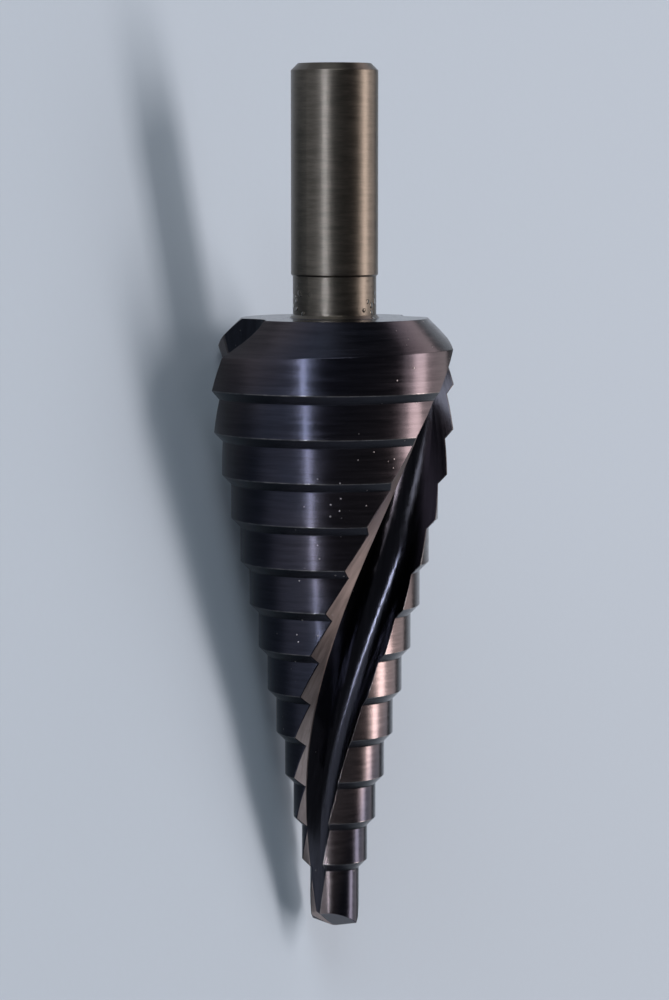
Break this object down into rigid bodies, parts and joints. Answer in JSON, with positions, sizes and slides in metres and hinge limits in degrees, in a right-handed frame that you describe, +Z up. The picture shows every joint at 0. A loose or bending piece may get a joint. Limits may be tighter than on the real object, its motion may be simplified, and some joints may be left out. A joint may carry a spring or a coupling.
{
  "type": "step drill",
  "caption": "Spiral-fluted step drill with relieved, stepped cutting lands, a drill point, a chamfered back and a plain round shank.",
  "frame": {"origin": "middle of the bounding box's bottom face, in the pose in which the tool comes to rest on a flat surface", "axes": "+Z up; the tool's axis lies in the XZ plane, with its point towards +X and low, and its shank towards -X and raised"},
  "size_m": [0.0996, 0.0294, 0.0286],
  "materials": {
    "tool": "satin ground surface with a dark violet-black hard coating"
  },
  "bodies": {
    "root": {"step_drill": "tool"}
  },
  "joints": []
}
